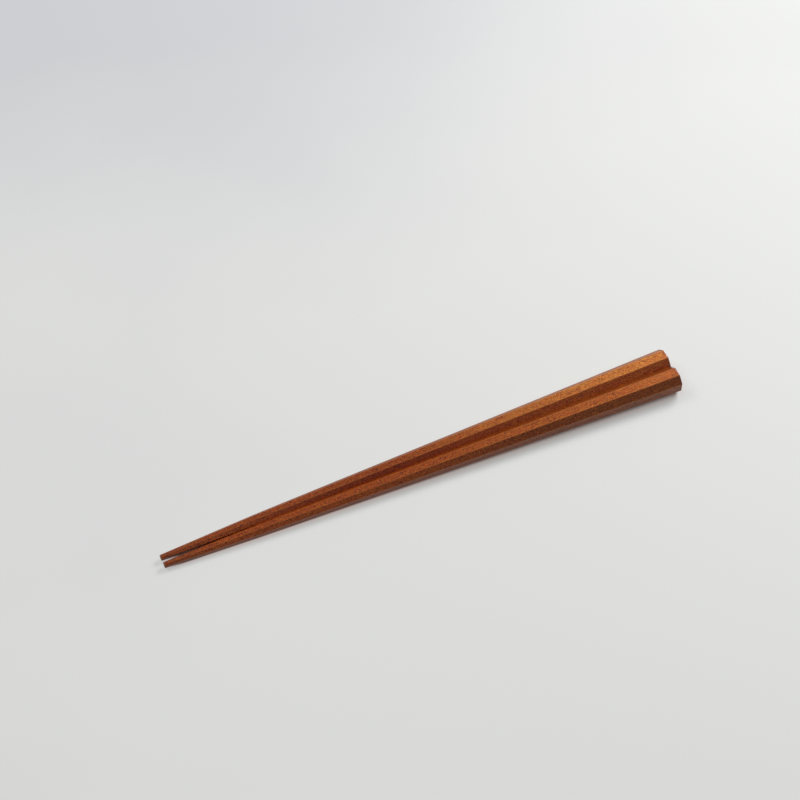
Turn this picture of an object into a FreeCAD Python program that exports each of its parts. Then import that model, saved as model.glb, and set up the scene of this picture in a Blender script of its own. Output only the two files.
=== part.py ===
import FreeCAD, Part
import math
import os

# A pair of wooden eating sticks, lying side by side on a flat surface.
# Each is one straight piece, planed to eight facets: a body that tapers evenly from the butt,
# and a thinned end that runs down faster to a slim, flat-cut tip.
# Sizes are in millimetres. +X runs from the tips to the butts, +Y from the front stick to the
# rear one, +Z is up. The origin is the centre of the pair's footprint, on that surface.

# One stick: lengths along its axis, and widths across opposite facets
LENGTH = 225.0
THIN_LENGTH = 40.0
EASING_LENGTH = 10.0
BUTT_WIDTH = 10.0
NECK_WIDTH = 4.8
TIP_WIDTH = 2.3
FACETS = 8

# Softening of the edges
ARRIS_RADIUS = 0.25
BUTT_EDGE_RADIUS = 0.45
TIP_EDGE_RADIUS = 0.2

# Space left between the two inner facets, which lie against each other
CONTACT_GAP = 0.02

# How closely an edge has to lie in an end's plane to belong to that end
PLANE_TOLERANCE = 0.01

# What follows from the sizes above: the slope of a body facet against the axis, the half width
# that the body would have if it ran on to the tip, and how far the section reaches sideways
# for each unit of its half width
BODY_SLOPE = (BUTT_WIDTH - NECK_WIDTH) / 2 / (LENGTH - THIN_LENGTH)
THIN_SLOPE = (NECK_WIDTH - TIP_WIDTH) / 2 / THIN_LENGTH
BODY_START = NECK_WIDTH / 2 - BODY_SLOPE * THIN_LENGTH
HALF_TURN = 180.0
FACET_TURN = 2 * HALF_TURN / FACETS
CORNER_ANGLES = [math.radians((k + 0.5) * FACET_TURN) for k in range(FACETS)]
SIDE_REACH = max(math.sin(angle) for angle in CORNER_ANGLES) / math.cos(math.radians(FACET_TURN / 2))

X_AXIS = FreeCAD.Vector(1, 0, 0)
Y_AXIS = FreeCAD.Vector(0, 1, 0)
Z_AXIS = FreeCAD.Vector(0, 0, 1)
TIP_CENTRE = FreeCAD.Vector(0, 0, 0)


def facet_outline():
    """Edges of one facet seen from the side: thinned end, easing arc, body."""
    bend = FreeCAD.Vector(THIN_LENGTH, 0, NECK_WIDTH / 2)
    thin_run = FreeCAD.Vector(1, 0, THIN_SLOPE).normalize()
    body_run = FreeCAD.Vector(1, 0, BODY_SLOPE).normalize()
    start = FreeCAD.Vector(0, 0, TIP_WIDTH / 2)
    end = FreeCAD.Vector(LENGTH, 0, BUTT_WIDTH / 2)
    arc_start = bend - thin_run * EASING_LENGTH
    arc_end = bend + body_run * EASING_LENGTH
    half_turn = (math.atan(THIN_SLOPE) - math.atan(BODY_SLOPE)) / 2
    # the arc touches both runs, so its middle lies this far inside the bend
    sagitta = EASING_LENGTH * math.tan(half_turn / 2)
    inwards = (thin_run * -1 + body_run).normalize()
    arc_middle = bend + inwards * sagitta
    return [
        Part.makeLine(start, arc_start),
        Part.Arc(arc_start, arc_middle, arc_end).toShape(),
        Part.makeLine(arc_end, end),
    ]


def planed_side():
    """Everything on the wood's side of one facet, with the facet facing up."""
    depth = BUTT_WIDTH
    outline = facet_outline()
    top_start = outline[0].Vertexes[0].Point
    top_end = outline[-1].Vertexes[-1].Point
    low_end = FreeCAD.Vector(LENGTH, 0, -depth)
    low_start = FreeCAD.Vector(0, 0, -depth)
    closing = [
        Part.makeLine(top_end, low_end),
        Part.makeLine(low_end, low_start),
        Part.makeLine(low_start, top_start),
    ]
    side = Part.Face(Part.Wire(outline + closing))
    side.translate(Y_AXIS * -depth)
    return side.extrude(Y_AXIS * 2 * depth)


def arrises(blank):
    """The long edges between neighbouring facets."""
    return [edge for edge in blank.Edges if edge.BoundBox.XLength > EASING_LENGTH / 2]


def end_edges(stick, station):
    """The edges round the flat end at the given distance from the tip."""
    found = []
    for edge in stick.Edges:
        span = edge.BoundBox
        if max(abs(span.XMin - station), abs(span.XMax - station)) < PLANE_TOLERANCE:
            found.append(edge)
    return found


def make_stick():
    """One stick along +X, tip at the origin, one facet facing down."""
    sides = []
    for k in range(FACETS):
        side = planed_side()
        side.rotate(TIP_CENTRE, X_AXIS, HALF_TURN + k * FACET_TURN)
        sides.append(side)
    blank = sides[0]
    for side in sides[1:]:
        blank = blank.common(side)
    stick = blank.makeFillet(ARRIS_RADIUS, arrises(blank))
    stick = stick.makeFillet(BUTT_EDGE_RADIUS, end_edges(stick, LENGTH))
    stick = stick.makeFillet(TIP_EDGE_RADIUS, end_edges(stick, 0.0))
    return stick


def lay_down(stick, side):
    """The stick on its lower body facet, its inner facet along the middle plane.

    side is -1 for the stick in front of the plane and 1 for the one behind it.
    """
    laid = stick.copy()
    tilt = math.atan(BODY_SLOPE)
    laid.rotate(TIP_CENTRE, Y_AXIS, -math.degrees(tilt))
    laid.translate(Z_AXIS * BODY_START * math.cos(tilt))
    turn = math.atan(BODY_SLOPE * SIDE_REACH)
    laid.rotate(TIP_CENTRE, Z_AXIS, side * math.degrees(turn))
    offset = BODY_START * SIDE_REACH * math.cos(turn) + CONTACT_GAP / 2
    laid.translate(Y_AXIS * side * offset)
    return laid


def make_pair():
    """Both sticks, with the origin at the centre of their footprint."""
    stick = make_stick()
    pair = {"front_chopstick": lay_down(stick, -1), "rear_chopstick": lay_down(stick, 1)}
    box = Part.Compound(list(pair.values())).BoundBox
    for laid in pair.values():
        laid.translate(X_AXIS * -box.Center.x)
    return pair


def main():
    os.makedirs("parts", exist_ok=True)
    for name, solid in make_pair().items():
        solid.exportStep(os.path.join("parts", name + ".step"))


main()
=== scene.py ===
import math
from collections import namedtuple

import bpy
from mathutils import Matrix, Vector

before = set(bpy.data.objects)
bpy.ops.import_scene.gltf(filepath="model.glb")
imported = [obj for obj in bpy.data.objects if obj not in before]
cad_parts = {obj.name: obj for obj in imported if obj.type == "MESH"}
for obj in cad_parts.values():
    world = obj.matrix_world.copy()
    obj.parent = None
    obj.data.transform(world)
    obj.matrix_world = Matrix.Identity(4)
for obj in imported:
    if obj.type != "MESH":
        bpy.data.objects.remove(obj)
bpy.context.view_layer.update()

# Lengths are in metres in the frame's own axes: +X from the tips to the butts, +Y from the
# front stick to the rear one, +Z up, with the sticks' lowest facets at zero. Colours are
# levels from 0 to 255 on screen. A span is a pair of values between which something changes.

# The sticks' sizes, the same as those of the solids
STICK_LENGTH = 0.225
THIN_LENGTH = 0.040
BUTT_WIDTH = 0.0100
NECK_WIDTH = 0.0048
TIP_WIDTH = 0.0023
BODY_SLOPE = (BUTT_WIDTH - NECK_WIDTH) / 2 / (STICK_LENGTH - THIN_LENGTH)
THIN_SLOPE = (NECK_WIDTH - TIP_WIDTH) / 2 / THIN_LENGTH
BODY_START = NECK_WIDTH / 2 - BODY_SLOPE * THIN_LENGTH
TIP_X = -STICK_LENGTH / 2

# The photograph's view of the pair
CAMERA_AZIMUTH = math.radians(-26.09)
CAMERA_ELEVATION = math.radians(53.38)
CAMERA_ROLL = math.radians(1.65)
CAMERA_DISTANCE = 0.98522
CAMERA_LENS = 108.0
SENSOR_WIDTH = 36.0
CLIP_START = 0.01
CLIP_END = 20.0
AIM = Vector((0.00543, 0.03470, 0.0))

# Soft lamps as name, azimuth from +X towards +Y and elevation in degrees, distance, width,
# height, and power in watts
LAMPS = (
    ("key", 21.0, 40.0, 1.00, 0.50, 0.36, 8.6),
    ("fill", 135.0, 52.0, 1.60, 0.90, 0.60, 7.6),
)

# The surrounding's level in front of the sticks and behind them, the span of depth in which it
# changes, and the plain backdrop that the camera sees instead
LEVEL_IN_FRONT = 0.20
LEVEL_BEHIND = 0.30
LEVEL_SPAN = (-0.5, 0.5)
BACKDROP = (222, 223, 223)

# The floor, with its pale colour, the dim one of its painted shade, and the warm one of the
# painted bounce light beside the wood
FLOOR_SIZE = 6.0
FLOOR_DROP = 0.00002
FLOOR_ROUGHNESS = 0.8
FLOOR_PALE = (222, 223, 221)
FLOOR_DIM = (205, 206, 209)
FLOOR_WARM = (230, 190, 178)

# Where the floor is painted dim, a painted shade: towards the back, less so on the right, where
# it is painted paler, a painted light; with a faint cloud. A lean is how much the other direction
# counts in a slope
BACKWARD_LEAN = 0.45
RIGHTWARD_LEAN = -0.5
DIMMING_SPAN = (0.06, 0.30)
FADING_SPAN = (-0.08, 0.17)
LEFT_WHEN_FADED = 0.25
PALING_SPAN = (-0.17, 0.12)
PALING = -0.3
CLOUDS_PER_METRE = 9.0
CLOUD_SPAN = (0.3, 0.7)
CLOUD_SHARE = 0.2

# How far the floor's colour glows through its shadows, a painted light that lightens them
LIFT_AT_TIPS = 0.63
LIFT_AT_BUTTS = 0.42
LIFT_SPAN = (0.0, STICK_LENGTH * 0.9)

# The contact line under the overhanging sides, where next to nothing of that glow shows. From
# this far inside a side it fades outwards, over a width that grows from the tips to the butts,
# all in half widths of the stick. It ends past the tips and the butts. Beside the wood the glow
# is warmer, a painted bounce light from the wood
CONTACT_INSET = 0.46
CONTACT_AT_TIPS = 0.28
CONTACT_AT_BUTTS = 0.58
CONTACT_SPAN = (0.03, 0.20)
LEFT_IN_CONTACT = 0.05
PAST_TIPS = (0.0, 0.009)
PAST_BUTTS = (STICK_LENGTH - 0.001, STICK_LENGTH + 0.003)
WARM_SPAN = (-0.4, 0.5)
WARM_SHARE = 0.45

# Kinds of grain: the length and width of a fleck, the detail and roughness of the noise, where
# in the noise it starts, and the span of the noise in which its colour sets in
Grain = namedtuple("Grain", "length width detail roughness start span")
MOTTLE = Grain(0.0075, 0.0028, 2.0, 0.5, 0.0, (0.34, 0.66))
PATCH = Grain(0.0034, 0.0016, 1.0, 0.5, 5.7, (0.50, 0.70))
HUE = Grain(0.0014, 0.00055, 1.0, 0.5, 17.3, (0.38, 0.62))
FIBRE = Grain(0.0070, 0.00022, 1.0, 0.5, 3.1, (0.52, 0.75))
SPECK = Grain(0.00036, 0.00026, 1.0, 0.6, 7.3, (0.38, 0.62))
PORE = Grain(0.0016, 0.00032, 0.0, 0.5, 11.9, (0.66, 0.74))

# Growth rings round a line this far behind each stick's axis
RING_CENTRE = 0.006
RING_SPACING = 0.0011
RING_WAVE = 0.0012

# Colours laid over the wood's tone, each with the largest share that it takes, and the share of
# the dark specks' tone that the fibres take
Layer = namedtuple("Layer", "levels share")
RED_PATCH = Layer((146, 44, 16), 0.40)
RING = Layer((112, 42, 14), 0.16)
RUDDY = Layer((144, 28, 16), 0.65)
YELLOW = Layer((168, 100, 28), 0.55)
LIGHT_SPECK = Layer((206, 112, 38), 0.55)
DARK_SPECK = Layer((76, 26, 12), 0.72)
# A painted shade that darkens the back sides
BACK_PAINTED_SHADE = Layer((100, 40, 12), 0.35)
# A painted reflection of the floor, greying the front flanks near the tip
FLANK_PAINTED_REFLECTION = Layer((131, 81, 66), 0.75)
DULL_TIP = Layer((96, 56, 44), 0.25)
DULL_BUTT = Layer((112, 58, 48), 0.50)
OPEN_PORE = Layer((66, 25, 15), 0.55)
# A painted highlight along the arrises
ARRIS_PAINTED_HIGHLIGHT = Layer((205, 128, 66), 0.20)
FIBRE_SHARE = 0.22

# Where the painted light, shade and reflection on the sides set in, as offsets to the rear in
# half widths of the stick, and the painted highlight on the arrises, as distances from the axis
FRONT_SPAN = (-0.50, -0.36)
BACK_SPAN = (0.36, 0.50)
FLANK_SPAN = (-1.0, -0.97)
ARRIS_SPAN = (1.045, 1.075)

# Where the ends grow dull, as shares of the length from the tip
TIP_SPAN = (0.0, 0.10)
BUTT_SPAN = (0.991, 0.998)

# The satin surface: roughness, relief, a golden sheen and a clear coat
ROUGHNESS = (0.38, 0.46)
ROUGHNESS_SPAN = (0.3, 0.7)
PORE_ROUGHNESS = 0.2
FIBRE_HEIGHT = 0.5
PORE_HEIGHT = -0.7
RELIEF_STRENGTH = 0.35
RELIEF_DEPTH = 0.00004
SHEEN = (0.16, 0.40)
SHEEN_SPAN = (0.40, 0.90)
COAT_WEIGHT = 0.34
COAT_ROUGHNESS = 0.18
COAT_IOR = 2.0

# What differs between the two woods: the stick's side, -1 in front and 1 behind; a shift in the
# grain; a red and a golden tone at the tip and at the butt, and the span of the length in which
# they change, those at the butt partly the wood's own colour and partly a painted sheen; what
# these are multiplied by at both ends, at the butt again partly a painted sheen, and on the front
# sides besides, a painted light at the tip and a painted shade further on; and the span in which
# that painted shade grows, on the front sides and on the back ones
Wood = namedtuple(
    "Wood", "side shift young_red young_gold ripe_red ripe_gold ripening "
    "young_tint ripe_tint young_front deep_front deepening"
)
FRONT_WOOD = Wood(
    side=-1,
    shift=0.0,
    young_red=(134, 48, 14),
    young_gold=(144, 59, 17),
    ripe_red=(152, 66, 22),
    ripe_gold=(172, 94, 34),
    ripening=(0.33, 0.92),
    young_tint=(0.90, 0.77, 0.68),
    ripe_tint=(0.99, 1.07, 1.10),
    young_front=(1.08, 1.18, 1.60),
    deep_front=(0.69, 0.67, 0.88),
    deepening=(0.25, 0.75),
)
REAR_WOOD = Wood(
    side=1,
    shift=40.0,
    young_red=(119, 41, 13),
    young_gold=(130, 52, 16),
    ripe_red=(190, 116, 38),
    ripe_gold=(218, 156, 58),
    ripening=(0.38, 0.84),
    young_tint=(0.85, 0.73, 0.72),
    ripe_tint=(1.18, 1.36, 1.85),
    young_front=(1.48, 1.72, 2.40),
    deep_front=(0.89, 0.61, 0.50),
    deepening=(0.05, 0.40),
)

# A point on a stick: the share of the length from the tip; in half widths the distance from the
# axis and the offset to the rear; and in metres the offsets to the rear and upwards
Spot = namedtuple("Spot", "along reach turned rearward upwards")

# Where a mix node keeps its colour sockets, after those for numbers and vectors
FIRST_COLOUR = 6
SECOND_COLOUR = 7
MIXED_COLOUR = 2


def linear(level):
    """A screen level from 0 to 1 as a linear one."""
    if level <= 0.04045:
        return level / 12.92
    return ((level + 0.055) / 1.055) ** 2.4


def colour(levels):
    """A colour's screen levels as linear values with full alpha."""
    return tuple(linear(level / 255) for level in levels) + (1.0,)


class Graph:
    """A node tree with short calls for making and joining its nodes."""

    def __init__(self, tree):
        self.tree = tree
        tree.nodes.clear()

    def add(self, kind, inputs=None, **settings):
        made = self.tree.nodes.new(kind)
        for name, value in settings.items():
            setattr(made, name, value)
        for name, value in (inputs or {}).items():
            self.feed(made.inputs[name], value)
        return made

    def feed(self, socket, value):
        if isinstance(value, bpy.types.NodeSocket):
            self.tree.links.new(value, socket)
        else:
            socket.default_value = value

    def math(self, operation, *values):
        made = self.add("ShaderNodeMath", operation=operation)
        for socket, value in zip(made.inputs, values):
            self.feed(socket, value)
        return made.outputs[0]

    def distance(self, first, second):
        """The square root of the sum of two squares."""
        square = self.math("MULTIPLY_ADD", first, first, self.math("MULTIPLY", second, second))
        return self.math("SQRT", square)

    def stretch(self, value, low, high, to_low=0.0, to_high=1.0):
        """Carries value from the range low..high to to_low..to_high, held at both ends."""
        inputs = {"Value": value, "From Min": low, "From Max": high}
        inputs.update({"To Min": to_low, "To Max": to_high})
        made = self.add("ShaderNodeMapRange", inputs, interpolation_type="SMOOTHSTEP", clamp=True)
        return made.outputs[0]

    def mix(self, factor, first, second):
        """Blends two colours."""
        made = self.add("ShaderNodeMix", data_type="RGBA", clamp_factor=True)
        self.feed(made.inputs["Factor"], factor)
        self.feed(made.inputs[FIRST_COLOUR], first)
        self.feed(made.inputs[SECOND_COLOUR], second)
        return made.outputs[MIXED_COLOUR]

    def lay(self, layer, share, tone):
        """Lays a layer's colour over a tone."""
        return self.mix(share, tone, colour(layer.levels))

    def tinted(self, first, second):
        """Multiplies two colours."""
        made = self.add("ShaderNodeVectorMath", {0: first, 1: second}, operation="MULTIPLY")
        return made.outputs[0]

    def shown(self):
        """One for what the camera sees, straight on, mirrored or through glass, and else zero."""
        rays = self.add("ShaderNodeLightPath").outputs
        mirrored = self.math("MAXIMUM", rays["Is Glossy Ray"], rays["Is Transmission Ray"])
        return self.math("MAXIMUM", rays["Is Camera Ray"], mirrored)

    def noise(self, vector, detail=2.0, roughness=0.5):
        inputs = {"Vector": vector, "Scale": 1.0, "Detail": detail, "Roughness": roughness}
        return self.add("ShaderNodeTexNoise", inputs, noise_dimensions="3D").outputs["Fac"]


def direction(azimuth, elevation):
    """Unit vector towards a place in the sky; azimuth is measured from +X towards +Y."""
    ground = math.cos(elevation)
    return Vector((math.cos(azimuth) * ground, math.sin(azimuth) * ground, math.sin(elevation)))


def make_camera():
    data = bpy.data.cameras.new("camera")
    data.lens = CAMERA_LENS
    data.sensor_width = SENSOR_WIDTH
    data.clip_start = CLIP_START
    data.clip_end = CLIP_END
    camera = bpy.data.objects.new("camera", data)
    bpy.context.scene.collection.objects.link(camera)
    across = direction(CAMERA_AZIMUTH, 0.0)
    back = direction(CAMERA_AZIMUTH - math.pi / 2, CAMERA_ELEVATION)
    over = back.cross(across)
    right = across * math.cos(CAMERA_ROLL) + over * math.sin(CAMERA_ROLL)
    up = over * math.cos(CAMERA_ROLL) - across * math.sin(CAMERA_ROLL)
    turn = Matrix((right, up, back)).transposed().to_4x4()
    camera.matrix_world = Matrix.Translation(AIM + back * CAMERA_DISTANCE) @ turn
    bpy.context.scene.camera = camera


def make_lamp(name, azimuth, elevation, distance, width, height, power):
    data = bpy.data.lights.new(name, "AREA")
    data.shape = "RECTANGLE"
    data.size = width
    data.size_y = height
    data.energy = power
    lamp = bpy.data.objects.new(name, data)
    bpy.context.scene.collection.objects.link(lamp)
    towards = direction(math.radians(azimuth), math.radians(elevation))
    turn = towards.to_track_quat("Z", "Y").to_matrix().to_4x4()
    lamp.matrix_world = Matrix.Translation(towards * distance) @ turn


def make_surrounding():
    """Dim light from all round, a little weaker from the front; plain and pale to the camera."""
    world = bpy.data.worlds.new("studio")
    bpy.context.scene.world = world
    world.use_nodes = True
    graph = Graph(world.node_tree)
    towards = graph.add("ShaderNodeTexCoord").outputs["Generated"]
    depth = graph.add("ShaderNodeSeparateXYZ", {"Vector": towards}).outputs["Y"]
    level = graph.stretch(depth, *LEVEL_SPAN, LEVEL_IN_FRONT, LEVEL_BEHIND)
    seen = graph.add("ShaderNodeLightPath").outputs["Is Camera Ray"]
    lit = graph.add("ShaderNodeBackground", {"Color": (1, 1, 1, 1), "Strength": level})
    plain = graph.add("ShaderNodeBackground", {"Color": colour(BACKDROP), "Strength": 1.0})
    mixed = graph.add("ShaderNodeMixShader", {0: seen, 1: lit.outputs[0], 2: plain.outputs[0]})
    graph.add("ShaderNodeOutputWorld", {"Surface": mixed.outputs[0]})


def half_width(graph, run):
    """The stick's half width at a distance from its tip, and the height of its axis there."""
    axis = graph.math("MULTIPLY_ADD", run, BODY_SLOPE, BODY_START)
    thin = graph.math("MULTIPLY_ADD", run, THIN_SLOPE, TIP_WIDTH / 2)
    return graph.math("MINIMUM", axis, thin), axis


def floor_shade(graph, place, x, y):
    """Faintly cloudy colour, with a painted shade to the back left, a painted light to the right.
    """
    backward = graph.math("MULTIPLY_ADD", x, BACKWARD_LEAN, y)
    rightward = graph.math("MULTIPLY_ADD", y, RIGHTWARD_LEAN, x)
    scale = (CLOUDS_PER_METRE, CLOUDS_PER_METRE, CLOUDS_PER_METRE)
    spot = graph.add("ShaderNodeMapping", {"Vector": place, "Scale": scale}).outputs[0]
    cloud = graph.stretch(graph.noise(spot), *CLOUD_SPAN, 0.0, CLOUD_SHARE)
    dimming = graph.stretch(backward, *DIMMING_SPAN)
    fading = graph.stretch(rightward, *FADING_SPAN, 1.0, LEFT_WHEN_FADED)
    dimming = graph.math("MULTIPLY", dimming, fading)
    shade = graph.math("ADD", dimming, graph.stretch(rightward, *PALING_SPAN, 0.0, PALING))
    return graph.mix(graph.math("ADD", shade, cloud), colour(FLOOR_PALE), colour(FLOOR_DIM))


def shadow_lift(graph, x, y):
    """How far the floor's colour glows through its shadows, a painted light, and how warm that
    glow is beside the wood, a painted bounce light.

    Close under the sticks' overhanging sides the shadow stays deep. The distance out from a side
    is in the stick's own half widths.
    """
    run = graph.math("SUBTRACT", x, TIP_X)
    half, axis = half_width(graph, graph.math("MAXIMUM", run, 0.0))
    beside = graph.math("SUBTRACT", graph.math("ABSOLUTE", y), graph.math("ADD", axis, half))
    beside = graph.math("DIVIDE", beside, half)
    width = graph.stretch(run, *CONTACT_SPAN, CONTACT_AT_TIPS, CONTACT_AT_BUTTS)
    outwards = graph.math("DIVIDE", graph.math("ADD", beside, CONTACT_INSET), width)
    past_tips = graph.stretch(run, *PAST_TIPS, 1.0, 0.0)
    past = graph.math("MAXIMUM", past_tips, graph.stretch(run, *PAST_BUTTS))
    clear = graph.math("MAXIMUM", graph.stretch(outwards, 0.0, 1.0, LEFT_IN_CONTACT, 1.0), past)
    lift = graph.stretch(run, *LIFT_SPAN, LIFT_AT_TIPS, LIFT_AT_BUTTS)
    painted_bounce = graph.stretch(beside, *WARM_SPAN, WARM_SHARE, 0.0)
    painted_bounce = graph.math("MULTIPLY", painted_bounce, graph.math("SUBTRACT", 1.0, past))
    return graph.math("MULTIPLY", lift, clear), painted_bounce


def floor_material():
    """A matt pale surface.

    Its own colour glows through the shadows to the camera, straight on, mirrored or through
    glass, a painted light that lights nothing, and warmer beside the wood, a painted bounce
    light.
    """
    material = bpy.data.materials.new("pale_floor")
    material.use_nodes = True
    graph = Graph(material.node_tree)
    place = graph.add("ShaderNodeTexCoord").outputs["Object"]
    parts = graph.add("ShaderNodeSeparateXYZ", {"Vector": place})
    x, y = parts.outputs["X"], parts.outputs["Y"]
    shade = floor_shade(graph, place, x, y)
    lift, painted_bounce = shadow_lift(graph, x, y)
    glow = graph.mix(painted_bounce, shade, colour(FLOOR_WARM))
    inputs = {"Base Color": shade, "Roughness": FLOOR_ROUGHNESS, "Specular IOR Level": 0.0}
    matt = graph.add("ShaderNodeBsdfPrincipled", inputs)
    plain = graph.add("ShaderNodeEmission", {"Color": glow, "Strength": 1.0})
    seen = graph.math("MULTIPLY", graph.shown(), lift)
    mixed = graph.add("ShaderNodeMixShader", {0: seen, 1: matt.outputs[0], 2: plain.outputs[0]})
    graph.add("ShaderNodeOutputMaterial", {"Surface": mixed.outputs[0]})
    return material


def make_floor():
    half = FLOOR_SIZE / 2
    corners = [(x * half, y * half, -FLOOR_DROP) for x, y in ((-1, -1), (1, -1), (1, 1), (-1, 1))]
    mesh = bpy.data.meshes.new("floor")
    mesh.from_pydata(corners, [], [(0, 1, 2, 3)])
    mesh.materials.append(floor_material())
    floor = bpy.data.objects.new("floor", mesh)
    bpy.context.scene.collection.objects.link(floor)


def find_spot(graph, place, side):
    """Where a point lies on the stick on the given side."""
    parts = graph.add("ShaderNodeSeparateXYZ", {"Vector": place})
    run = graph.math("SUBTRACT", parts.outputs["X"], TIP_X)
    half, axis = half_width(graph, run)
    rearward = graph.math("SUBTRACT", parts.outputs["Y"], graph.math("MULTIPLY", axis, side))
    upwards = graph.math("SUBTRACT", parts.outputs["Z"], axis)
    reach = graph.math("DIVIDE", graph.distance(rearward, upwards), half)
    turned = graph.math("DIVIDE", rearward, half)
    return Spot(graph.math("DIVIDE", run, STICK_LENGTH), reach, turned, rearward, upwards)


def drawn_noise(graph, place, grain, shift):
    """A noise drawn out along the stick."""
    start = shift + grain.start
    spread = (1 / grain.length, 1 / grain.width, 1 / grain.width)
    inputs = {"Vector": place, "Location": (start, start, start), "Scale": spread}
    moved = graph.add("ShaderNodeMapping", inputs).outputs[0]
    return graph.noise(moved, grain.detail, grain.roughness)


def growth_rings(graph, spot, mottle):
    """A wave from -1 to 1 round a line behind the stick's axis, not quite even."""
    across = graph.math("SUBTRACT", spot.rearward, RING_CENTRE)
    wave = graph.math("MULTIPLY_ADD", mottle, RING_WAVE, graph.distance(across, spot.upwards))
    return graph.math("SINE", graph.math("MULTIPLY", wave, 2 * math.pi / RING_SPACING))


def wood_material(name, wood):
    """Red-brown satin wood, its grain running along X."""
    material = bpy.data.materials.new(name)
    material.use_nodes = True
    graph = Graph(material.node_tree)
    place = graph.add("ShaderNodeTexCoord").outputs["Object"]
    spot = find_spot(graph, place, wood.side)
    kinds = (MOTTLE, PATCH, HUE, FIBRE, SPECK, PORE)
    mottle, patch, hue, fibre, speck, pore = [
        drawn_noise(graph, place, kind, wood.shift) for kind in kinds
    ]
    rings = growth_rings(graph, spot, mottle)

    # A red and a golden tone, with redder patches and dark rings
    # Towards the butt both tones grow lighter and more golden, partly the wood's own colour and
    # partly a painted sheen
    gold_and_sheen = graph.stretch(spot.along, *wood.ripening)
    red = graph.mix(gold_and_sheen, colour(wood.young_red), colour(wood.ripe_red))
    golden = graph.mix(gold_and_sheen, colour(wood.young_gold), colour(wood.ripe_gold))
    tone = graph.mix(graph.stretch(mottle, *MOTTLE.span), red, golden)
    tone = graph.lay(RED_PATCH, graph.stretch(patch, *PATCH.span, 0.0, RED_PATCH.share), tone)
    tone = graph.lay(RING, graph.stretch(rings, 0.0, 1.0, 0.0, RING.share), tone)

    # Small flecks from ruddy to yellow, smaller specks from dark to light, and dark fibres
    ruddy = graph.lay(RUDDY, RUDDY.share, tone)
    yellow = graph.lay(YELLOW, YELLOW.share, tone)
    tone = graph.mix(graph.stretch(hue, *HUE.span), ruddy, yellow)
    light = graph.lay(LIGHT_SPECK, LIGHT_SPECK.share, tone)
    dark = graph.lay(DARK_SPECK, DARK_SPECK.share, tone)
    tone = graph.mix(graph.stretch(speck, *SPECK.span), dark, light)
    tone = graph.mix(graph.stretch(fibre, *FIBRE.span, 0.0, FIBRE_SHARE), tone, dark)
    # The tint towards the butt is partly the wood's own colour and partly a painted sheen
    tint = graph.mix(gold_and_sheen, wood.young_tint + (1.0,), wood.ripe_tint + (1.0,))
    tone = graph.tinted(tone, tint)

    # Painted light and shade on the front sides: lighter and bluer near the tip, darker towards
    # the butt
    painted_shade_growth = graph.stretch(spot.along, *wood.deepening)
    tint = graph.mix(painted_shade_growth, wood.young_front + (1.0,), wood.deep_front + (1.0,))
    front_painted_light_and_shade = graph.stretch(spot.turned, *FRONT_SPAN, 1.0, 0.0)
    tone = graph.mix(front_painted_light_and_shade, tone, graph.tinted(tone, tint))
    # A painted shade on the back sides, growing towards the butt
    back_painted_shade = graph.stretch(spot.turned, *BACK_SPAN, 0.0, BACK_PAINTED_SHADE.share)
    tone = graph.lay(BACK_PAINTED_SHADE, graph.math("MULTIPLY", back_painted_shade, painted_shade_growth), tone)
    # A painted reflection of the floor on the front flanks near the tip
    flank_painted_reflection = graph.stretch(spot.turned, *FLANK_SPAN, FLANK_PAINTED_REFLECTION.share, 0.0)
    tipward = graph.math("SUBTRACT", 1.0, gold_and_sheen)
    tone = graph.lay(FLANK_PAINTED_REFLECTION, graph.math("MULTIPLY", flank_painted_reflection, tipward), tone)

    # Both ends are duller
    tone = graph.lay(DULL_TIP, graph.stretch(spot.along, *TIP_SPAN, DULL_TIP.share, 0.0), tone)
    tone = graph.lay(DULL_BUTT, graph.stretch(spot.along, *BUTT_SPAN, 0.0, DULL_BUTT.share), tone)

    # Dark pores, and arrises painted a little paler, a painted highlight
    holes = graph.stretch(pore, *PORE.span)
    tone = graph.lay(OPEN_PORE, graph.math("MULTIPLY", holes, OPEN_PORE.share), tone)
    arris_highlight = graph.stretch(spot.reach, *ARRIS_SPAN, 0.0, ARRIS_PAINTED_HIGHLIGHT.share)
    tone = graph.lay(ARRIS_PAINTED_HIGHLIGHT, arris_highlight, tone)

    # Fine relief along the fibres, and a soft golden sheen that grows towards the butt
    rough = graph.stretch(mottle, *ROUGHNESS_SPAN, *ROUGHNESS)
    rough = graph.math("MULTIPLY_ADD", holes, PORE_ROUGHNESS, rough)
    height = graph.math("MULTIPLY", holes, PORE_HEIGHT)
    height = graph.math("MULTIPLY_ADD", fibre, FIBRE_HEIGHT, height)
    inputs = {"Strength": RELIEF_STRENGTH, "Distance": RELIEF_DEPTH, "Height": height}
    relief = graph.add("ShaderNodeBump", inputs)
    shader = graph.add("ShaderNodeBsdfPrincipled", {
        "Base Color": tone,
        "Metallic": graph.stretch(spot.along, *SHEEN_SPAN, *SHEEN),
        "Roughness": rough,
        "Normal": relief.outputs[0],
        "Specular IOR Level": 0.0,
        "Coat Weight": COAT_WEIGHT,
        "Coat Roughness": COAT_ROUGHNESS,
        "Coat IOR": COAT_IOR,
    })
    graph.add("ShaderNodeOutputMaterial", {"Surface": shader.outputs[0]})
    return material


def dress_sticks():
    front = wood_material("front_wood", FRONT_WOOD)
    rear = wood_material("rear_wood", REAR_WOOD)
    for node, material in (("front_chopstick", front), ("rear_chopstick", rear)):
        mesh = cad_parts[node].data
        mesh.materials.clear()
        mesh.materials.append(material)


bpy.context.scene.view_settings.view_transform = "Standard"
make_camera()
for lamp in LAMPS:
    make_lamp(*lamp)
make_surrounding()
make_floor()
dress_sticks()
